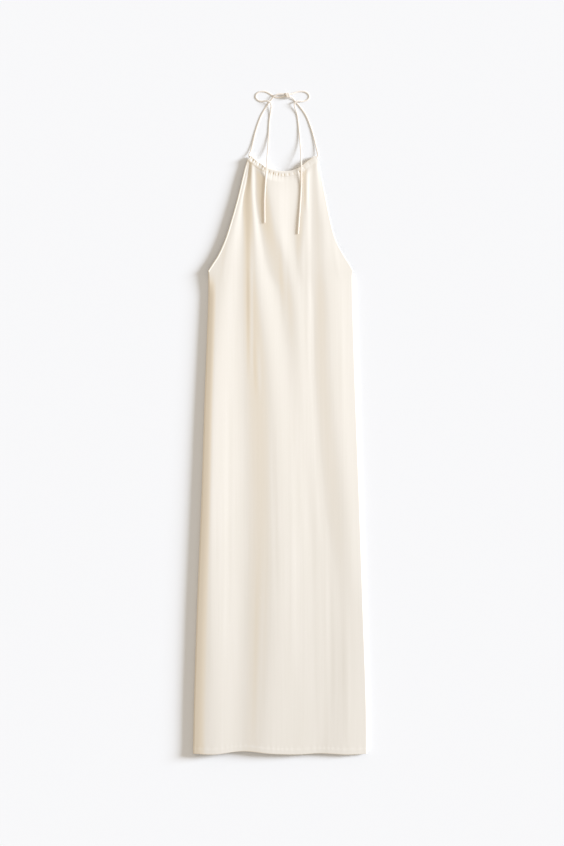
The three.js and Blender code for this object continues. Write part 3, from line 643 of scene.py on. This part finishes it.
def left_roll(x, down):
    """How far the broad roll at the left lowers the front: a quarter sine in from the edge."""
    round_width = np.interp(down, [UNDERARM_DOWN, HEM_DOWN], LEFT_ROUND_WIDTHS)
    from_left = np.clip((x - edge_x("left", down)) / round_width, 0, 1)
    rounded = smooth_step((down - UNDERARM_DOWN) / LEFT_ROUND_START)
    return rounded * LEFT_ROUND * (1 - np.sin(from_left * np.pi / 2))


def front_surface(share, curl, down):
    """Points of the front's outer face. A column has its share of the width and an angle that
    is 0 where the cloth has curled down to the side seam, as a quarter ellipse, and a right
    angle where it lies level. Heights are those of the folds and ripples, blended into the
    casing's seam at the top."""
    share, curl = share[None, :], curl[None, :]
    down = down[:, None]
    rolled = smooth_step((down - UNDERARM_DOWN) / FLANK_START)
    x, y, s = front_plan(share, curl, rolled, down)
    folded = fold_height(x, -y) + ripple_height(x, down) - left_roll(x, down)
    from_seam = down - FRONT_TOP_DOWN
    blend = smooth_step((from_seam + SEAM_BLEND_BEFORE) / SEAM_BLEND)
    seam_height = casing_middle(s) + SEAM_RISE
    height = seam_height + (folded - seam_height) * blend + hem_relief(x, down)
    height = height + (SEAM_HEIGHT - height) * rolled * (1 - np.sin(curl))
    ends = smooth_step(s / SEAM_END_SHARE) * smooth_step((1 - s) / SEAM_END_SHARE)
    height = height - ends * SEAM_GATHER * gather_depth(s, SEAM_ACROSS, from_seam)
    return np.stack([x, y, height], axis=-1)


# Grids of the panels: the columns that curl at each side seam, the level ones between them,
# and the rows as stretches from one distance down to another at a spacing. The stretches at
# the hem and at the back's top have a count of rows instead.
CURL_COLUMNS = 8
FRONT_COLUMNS = 224
FRONT_ROWS = [
    (FRONT_TOP_DOWN, 0.040, 0.0015),
    (0.040, 0.110, 0.0040),
    (0.110, UNDERARM_DOWN - 0.001, 0.0065),
    (UNDERARM_DOWN, 0.300, 0.0030),
    (0.300, 1.350, 0.0115),
]
FRONT_HEM_ROWS = (1.350, HEM_DOWN, 22)
BACK_COLUMNS = 48
BACK_TOP_ROWS = (BACK_TOP_DOWN, BACK_TOP_DOWN + 0.020, 12)
BACK_ROWS = (0.300, 1.350, 0.0150)
BACK_HEM_ROWS = (1.3525, BACK_HEM_DOWN, 14)


def panel_columns(count):
    """Share of the width and angle of curl of each column of a panel, with count level
    columns, evenly spaced, between those that curl."""
    curl = np.radians(np.linspace(0, 90, CURL_COLUMNS))
    level = np.linspace(0, 1, count + 2)[1:-1]
    shares = np.concatenate([np.zeros(CURL_COLUMNS), level, np.ones(CURL_COLUMNS)])
    curls = np.concatenate([curl, np.full(count, np.pi / 2), curl[::-1]])
    return shares, curls


def front_piece():
    """The front: its outer face, and a lining face one cloth's thickness behind it."""
    shares, curls = panel_columns(FRONT_COLUMNS)
    down = [np.arange(*stretch) for stretch in FRONT_ROWS]
    down = np.concatenate([*down, np.linspace(*FRONT_HEM_ROWS)])
    outer = front_surface(shares, curls, down)
    inner = outer - CLOTH * grid_normals(outer)
    piece = shell("front_cloth", in_frame(outer), in_frame(inner), outer[..., :2])
    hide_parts("front_panel")
    return piece


# Back: flat on the surface, curled up at its sides to meet the front, with its upper edge
# turned under.
BACK_FLANK = 0.005
BACK_SEAM_HEIGHT = 0.0028
BACK_TOP_TURN = 0.008


def back_piece():
    """The back: a flat face between quarter ellipses that rise to the side seams. Its lining
    face is one cloth's thickness above, and thicker where its hem and upper edge turn."""
    shares, curls = panel_columns(BACK_COLUMNS)
    share, curl = shares[None, :], curls[None, :]
    down = np.concatenate(
        [np.linspace(*BACK_TOP_ROWS), np.arange(*BACK_ROWS), np.linspace(*BACK_HEM_ROWS)]
    )[:, None]
    left, right = edge_x("left", down), edge_x("right", down)
    inward = np.where(share < 0.5, 1, -1)
    x = left + BACK_FLANK + share * (right - left - 2 * BACK_FLANK)
    x = x - inward * BACK_FLANK * np.cos(curl)
    rise = BACK_SEAM_HEIGHT * (1 - np.sin(curl)) + 0 * x
    outer = np.stack([x, -down + 0 * x, rise], axis=-1)
    turned = (down > BACK_HEM_DOWN - HEM_DEPTH) | (down < BACK_TOP_DOWN + BACK_TOP_TURN)
    wall = CLOTH + HEM_TURN * turned * np.sin(curl)
    inner = outer + wall[..., None] * grid_normals(outer)
    piece = shell("back_cloth", in_frame(outer), in_frame(inner), outer[..., :2])
    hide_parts("back_panel")
    return piece


# Casing: how flat its top is, as a power below 1, how the gathers round off towards its
# edges, and the scallops that they leave in its upper edge.
CASING_FLATNESS = 0.16
CASING_GATHER_POWER = 0.5
CASING_SCALLOP = 0.25
CASING_SCALLOP_ACROSS = 0.3
CASING_SCALLOP_SPREAD = 0.25
CASING_STEPS = 300
CASING_SIDES = 44


def casing_surface(share, turn, thinner=0):
    """Points of the casing: an oval with a flattened top, carried along the neckline and drawn
    thinner all round by some distance. The gathers sink into its upper side and leave its
    upper edge in low scallops."""
    share, turn = share[:, None], turn[None, :]
    across = (1 - np.cos(turn)) / 2
    upper = np.clip(np.sin(turn), 0, 1)
    profile = np.minimum(np.sin(turn), 0) + upper**CASING_FLATNESS
    edge_depth = gather_depth(share, CASING_SCALLOP_ACROSS, 0)
    scallop = CASING_SCALLOP * edge_depth * bell(across / CASING_SCALLOP_SPREAD)
    half_width = CASING_WIDTH / 2 - thinner
    half_height = CASING_HEIGHT / 2 - thinner
    inward = CASING_WIDTH / 2 - half_width * np.cos(turn) + scallop
    x, y = neck_point(share, inward)
    sunk = gather_depth(share, across, 0) * upper**CASING_GATHER_POWER
    height = casing_middle(share) + half_height * profile - sunk
    return np.stack([x, y, height], axis=-1)


def casing_piece():
    """The casing, a flattened pipe of cloth that is open at both ends for the tie."""
    share = np.linspace(0, 1, CASING_STEPS)
    turn = np.linspace(0, 2 * np.pi, CASING_SIDES, endpoint=False)
    outer = casing_surface(share, turn)
    inner = casing_surface(share, turn, CLOTH)
    far = np.broadcast_to(share[:, None] * CASING_LENGTH, outer.shape[:2])
    around = np.broadcast_to(turn * CASING_WIDTH / np.pi, outer.shape[:2])
    uv = np.stack([far, around], axis=-1)
    piece = shell("neck_casing_cloth", in_frame(outer), in_frame(inner), uv, around=True)
    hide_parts("neck_casing")
    return piece


# Binding: a bias strip folded over each armhole edge. The left one stands up more.
BINDING_HALF = {"left": 0.0006, "right": 0.0003}
BINDING_OUT = 0.0009
BINDING_LAP = 0.0030
BINDING_INNER_SHARE = 0.03
BINDING_PAST_UNDERARM = 0.002
BINDING_STEPS = 220
BINDING_SIDES = 18


def binding_piece(side):
    """A flattened oval section carried along one armhole edge of the front, round the edge
    from its outer face to its underside."""
    down = np.linspace(FRONT_TOP_DOWN, UNDERARM_DOWN + BINDING_PAST_UNDERARM, BINDING_STEPS)
    shares = np.array([0, BINDING_INNER_SHARE])
    shares = shares if side == "left" else 1 - shares
    points = front_surface(shares, np.array([0, np.pi / 2]), down)
    edge, inner = points[:, 0], points[:, 1]
    ahead = unit(np.gradient(edge, axis=0))
    inward = unit(inner - edge)
    inward = unit(inward - np.sum(inward * ahead, axis=1, keepdims=True) * ahead)
    upright = np.cross(ahead, inward)
    upright = upright * np.sign(upright[:, 2:])
    turn = np.linspace(0, 2 * np.pi, BINDING_SIDES, endpoint=False)
    wide = (BINDING_LAP + BINDING_OUT) / 2
    middle = edge + inward * (BINDING_LAP - BINDING_OUT) / 2 - upright * CLOTH / 2
    across = wide * np.cos(turn)
    above = BINDING_HALF[side] * np.sin(turn)
    rings = (
        middle[:, None]
        + across[:, None] * inward[:, None]
        + above[:, None] * upright[:, None]
    )
    far = distance_along(edge)
    uv = np.stack(np.broadcast_arrays(wide * turn, far[:, None]), axis=-1)
    piece = rod(f"binding_{side}", in_frame(rings), uv)
    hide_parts(f"armhole_binding_{side}")
    return piece


front_cloth = front_piece()
back_cloth = back_piece()
casing_cloth = casing_piece()
bindings = [binding_piece("left"), binding_piece("right")]

# Sewing: lock stitches along the hem and the casing's seam. A value just over 1 keeps their
# ends from shrinking to points.
STITCH_LENGTH = 0.0026
STITCH_PITCH = 0.0034
STITCH_THICK = 0.00025
STITCH_RINGS = 5
STITCH_SIDES = 6
STITCH_END = 1.02


def stitches_piece(name, line, upright):
    """A row of stitches: each is a short round bar whose ends dip into the cloth as the
    square of the distance from its middle. Two quads cap each of its six-sided ends."""
    far = distance_along(line)
    places = np.arange(STITCH_PITCH / 2, far[-1], STITCH_PITCH)
    middle = np.column_stack([np.interp(places, far, line[:, k]) for k in range(3)])
    up = unit(np.column_stack([np.interp(places, far, upright[:, k]) for k in range(3)]))
    steps = np.linspace(-0.5, 0.5, STITCH_RINGS)
    turn = np.linspace(0, 2 * np.pi, STITCH_SIDES, endpoint=False)
    line_ahead = unit(np.gradient(line, axis=0))
    ahead = np.column_stack([np.interp(places, far, line_ahead[:, k]) for k in range(3)])
    ahead = unit(ahead - np.sum(ahead * up, axis=1, keepdims=True) * up)
    across = np.cross(ahead, up)
    length = (steps * STITCH_LENGTH)[None, :, None, None]
    square = (2 * steps[None, :, None, None]) ** 2
    dip = -STITCH_THICK * square
    size = STITCH_THICK * np.sqrt(STITCH_END - square) / 2
    points = (
        middle[:, None, None]
        + ahead[:, None, None] * length
        + up[:, None, None] * (dip + size * np.sin(turn)[None, None, :, None])
        + across[:, None, None] * size * np.cos(turn)[None, None, :, None]
    )
    count, rings, sides = points.shape[:3]
    number = np.arange(count * rings * sides).reshape(count, rings, sides)
    number = np.concatenate([number, number[..., :1]], axis=2)
    faces = [
        sheet_quads(number),
        number[:, 0, [0, 1, 4, 5]],
        number[:, 0, [1, 2, 3, 4]],
        number[:, -1, [5, 4, 1, 0]],
        number[:, -1, [4, 3, 2, 1]],
    ]
    uv = np.stack(np.broadcast_arrays(length[..., 0], turn * STITCH_THICK / 2), axis=-1)
    uv = np.broadcast_to(uv, (count, rings, sides, 2))
    piece = make_piece(name, in_frame(points), faces, uv)
    return piece


def surface_line(share, down):
    """A line on the front's outer face with its normals, at shares and distances down."""
    points = front_surface(share, np.full(share.shape, np.pi / 2), down)
    return points, grid_normals(points)


# Each row of stitches follows the middle one of three lines, whose neighbours give its normals.
HEM_STITCH_SHARES = (0.003, 0.997)
CASING_STITCH_SHARES = (0.02, 0.98)
CASING_STITCH_TURN = 150
STITCH_LINE_STEPS = 400
THREE_LINES = np.array([-1, 0, 1])
DOWN_APART = 0.0004
TURN_APART = 4

hem_points, hem_normals = surface_line(
    np.linspace(*HEM_STITCH_SHARES, STITCH_LINE_STEPS),
    HEM_DOWN - HEM_DEPTH + HEM_STITCH_DOWN + DOWN_APART * THREE_LINES,
)
casing_points = casing_surface(
    np.linspace(*CASING_STITCH_SHARES, STITCH_LINE_STEPS),
    np.radians(CASING_STITCH_TURN + TURN_APART * THREE_LINES),
)
casing_normals = grid_normals(casing_points)
casing_normals = casing_normals * np.sign(casing_normals[..., 2:])
stitch_rows = [
    stitches_piece("hem_stitches", hem_points[1], hem_normals[1]),
    stitches_piece("casing_stitches", casing_points[:, 1], casing_normals[:, 1]),
]


# Materials.
def linear(colour):
    """Linear red, green, blue and alpha of an sRGB hex colour, by the standard's curve."""
    srgb = np.array([int(colour[i : i + 2], 16) for i in (1, 3, 5)]) / 255
    return (*np.where(srgb <= 0.04045, srgb / 12.92, ((srgb + 0.055) / 1.055) ** 2.4), 1)


def add_node(tree, kind, inputs=None, **settings):
    """A node with its settings, and with its inputs linked to sockets or set to values."""
    node = tree.nodes.new(kind)
    for name, value in settings.items():
        setattr(node, name, value)
    for socket, value in (inputs or {}).items():
        if isinstance(value, bpy.types.NodeSocket):
            tree.links.new(value, node.inputs[socket])
        else:
            node.inputs[socket].default_value = value
    return node


def node_material(name):
    """A material with an empty node tree, and the tree."""
    material = bpy.data.materials.new(name)
    material.use_nodes = True
    material.node_tree.nodes.clear()
    return material, material.node_tree


def spots(tree, place, size, **settings):
    """Noise whose spots have a width and a length in metres on the cloth."""
    scale = (1 / size[0], 1 / size[1], 1)
    scaled = add_node(tree, "ShaderNodeMapping", {"Vector": place, "Scale": scale})
    inputs = {"Vector": scaled.outputs[0], "Scale": 1, **settings}
    return add_node(tree, "ShaderNodeTexNoise", inputs).outputs["Fac"]


# Width and length of the satin's slubs, of its broad patches and of its warp's floats, which
# are drawn coarser than real so that they show.
SLUB_SIZE = (0.005, 0.25)
PATCH_SIZE = (0.06, 0.25)
FLOAT_SIZE = (0.0006, 0.0030)
# Tones at which the cloth has its deeper and its lighter colour.
TONE_RANGE = (0.12, 0.38)
# Painted shade: the colour darkens below the first distance down, to this share at the hem, for
# light that weakens towards the hem.
DEEPER_FROM = 0.45
DEEPEST = 0.92


def satin(name, colour, shade, painted_shade_colour, roughness):
    """Ivory polyester satin: long smooth warp threads that float over the cross threads, so it
    is smooth, has a soft broad shine and shows faint streaks along the warp. Its colour carries
    painted shade on flanks turned away from the light and down the skirt."""
    material, tree = node_material(name)
    place = add_node(tree, "ShaderNodeUVMap", uv_map="cloth").outputs["UV"]
    # Slubs: threads that are a little thicker or darker. Patches take the light a little
    # differently.
    slub = spots(tree, place, SLUB_SIZE, Detail=3, Roughness=0.6)
    patch = spots(tree, place, PATCH_SIZE, Detail=2)
    tone = add_node(tree, "ShaderNodeMath", {0: slub, 1: patch}, operation="MULTIPLY")
    colours = add_node(tree, "ShaderNodeValToRGB", {"Fac": tone.outputs[0]})
    stops = colours.color_ramp.elements
    for stop, position, tint in zip(stops, TONE_RANGE, (shade, colour)):
        stop.position = position
        stop.color = linear(tint)
    # Painted shade: flanks turned away from the light are mixed towards a warmer colour, for light
    # that bounces between the folds.
    painted_shade_mask = add_node(tree, "ShaderNodeAttribute", attribute_name="painted_shade_mask")
    painted_shading = add_node(
        tree,
        "ShaderNodeMix",
        {0: painted_shade_mask.outputs["Fac"], 6: colours.outputs["Color"], 7: linear(painted_shade_colour)},
        data_type="RGBA",
    )
    # Painted shade: the colour darkens a little down the skirt, for light that weakens towards the
    # hem.
    along = add_node(tree, "ShaderNodeSeparateXYZ", {"Vector": place})
    deeper = add_node(
        tree,
        "ShaderNodeMapRange",
        {
            "Value": along.outputs["Y"],
            "From Min": -DEEPER_FROM,
            "From Max": -HEM_DOWN,
            "To Min": 1,
            "To Max": DEEPEST,
        },
        interpolation_type="SMOOTHSTEP",
    )
    ivory = add_node(
        tree,
        "ShaderNodeVectorMath",
        {"Vector": painted_shading.outputs[2], "Scale": deeper.outputs["Result"]},
        operation="SCALE",
    )
    # Weave: floats of the warp, and the slubs raised over them.
    weave = spots(tree, place, FLOAT_SIZE, Detail=1)
    woven = add_node(
        tree,
        "ShaderNodeBump",
        {"Height": weave, "Strength": 0.35, "Distance": 0.00008},
    )
    drawn = add_node(
        tree,
        "ShaderNodeBump",
        {
            "Height": slub,
            "Strength": 0.25,
            "Distance": 0.00012,
            "Normal": woven.outputs[0],
        },
    )
    shader = add_node(
        tree,
        "ShaderNodeBsdfPrincipled",
        {
            "Base Color": ivory.outputs["Vector"],
            "Roughness": roughness,
            "IOR": 1.5,
            "Specular IOR Level": 0.35,
            "Sheen Weight": 0.08,
            "Sheen Roughness": 0.4,
            "Normal": drawn.outputs[0],
        },
    )
    add_node(tree, "ShaderNodeOutputMaterial", {"Surface": shader.outputs[0]})
    return material


def dress_in(material, *pieces):
    """Gives pieces a material."""
    for piece in pieces:
        piece.data.materials.clear()
        piece.data.materials.append(material)


# The cloth, and the same satin cut on the bias and rolled into the tie, which look lighter.
# The third colour of each satin is painted shade, mixed in on flanks turned away from the light.
cloth_satin = satin("ivory_satin", "#E8E2D9", "#E5DFD5", "#F4E8D5", 0.42)
binding_satin = satin("bias_satin", "#F0EAE0", "#EBE4D9", "#F3E9D8", 0.45)
tie_satin = satin("rolled_satin", "#EBE2D8", "#E6DCD0", "#EEE4D6", 0.5)
dress_in(cloth_satin, front_cloth, back_cloth, casing_cloth)
dress_in(binding_satin, *bindings)
dress_in(tie_satin, left_tie, right_tie, bow_wrap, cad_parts["tie_in_casing"])

# Length of the thread along which its plies turn once.
PLY_TWIST = 0.0005


def thread(name, colour):
    """Polyester sewing thread: two plies twisted together, so it has fine bands across it and
    a slight shine."""
    material, tree = node_material(name)
    place = add_node(tree, "ShaderNodeUVMap", uv_map="cloth").outputs["UV"]
    twist = add_node(
        tree, "ShaderNodeTexWave", {"Vector": place, "Scale": 1 / PLY_TWIST / (2 * math.pi)}
    )
    plies = add_node(
        tree,
        "ShaderNodeBump",
        {"Height": twist.outputs["Fac"], "Strength": 0.4, "Distance": 0.00005},
    )
    shader = add_node(
        tree,
        "ShaderNodeBsdfPrincipled",
        {"Base Color": linear(colour), "Roughness": 0.5, "Normal": plies.outputs[0]},
    )
    add_node(tree, "ShaderNodeOutputMaterial", {"Surface": shader.outputs[0]})
    return material


dress_in(thread("ivory_thread", "#E6DCCB"), *stitch_rows)

# Floor and light: a plain white surface, a low soft key from the right and an even dome. The
# key is a little cool and the dome warm, so that the shadows turn warm.
FLOOR_SIZE = 8
FLOOR_LEVEL = -0.00015
KEY_ELEVATION = math.radians(13)
KEY_ANGLE = math.radians(13.5)
KEY_STRENGTH = 7.4
KEY_COLOUR = (0.92, 1.0, 1.12)
DOME_STRENGTH = 0.56
DOME_COLOUR = (1.08, 0.985, 0.86)


def floor_piece():
    """A square of white paper under the dress, which is matt and slightly cool."""
    half = FLOOR_SIZE / 2
    mesh = bpy.data.meshes.new("floor")
    corners = [(-half, -half), (half, -half), (half, half), (-half, half)]
    mesh.from_pydata([(x, y, FLOOR_LEVEL) for x, y in corners], [], [(0, 1, 2, 3)])
    floor = add_object("floor", mesh)
    material, tree = node_material("white_paper")
    shader = add_node(
        tree,
        "ShaderNodeBsdfPrincipled",
        {"Base Color": linear("#EFF0F2"), "Roughness": 0.9, "Specular IOR Level": 0.1},
    )
    add_node(tree, "ShaderNodeOutputMaterial", {"Surface": shader.outputs[0]})
    mesh.materials.append(material)


floor_piece()

key_data = bpy.data.lights.new("key", "SUN")
key_data.energy = KEY_STRENGTH
key_data.angle = KEY_ANGLE
key_data.color = KEY_COLOUR
key = add_object("key", key_data)
key.rotation_euler = (0, math.pi / 2 - KEY_ELEVATION, LIGHT_AZIMUTH)

world = bpy.data.worlds.new("dome")
world.use_nodes = True
world.node_tree.nodes.clear()
dome = add_node(
    world.node_tree,
    "ShaderNodeBackground",
    {"Color": (*DOME_COLOUR, 1), "Strength": DOME_STRENGTH},
)
add_node(world.node_tree, "ShaderNodeOutputWorld", {"Surface": dome.outputs[0]})
bpy.context.scene.world = world
bpy.context.scene.view_settings.view_transform = "Standard"
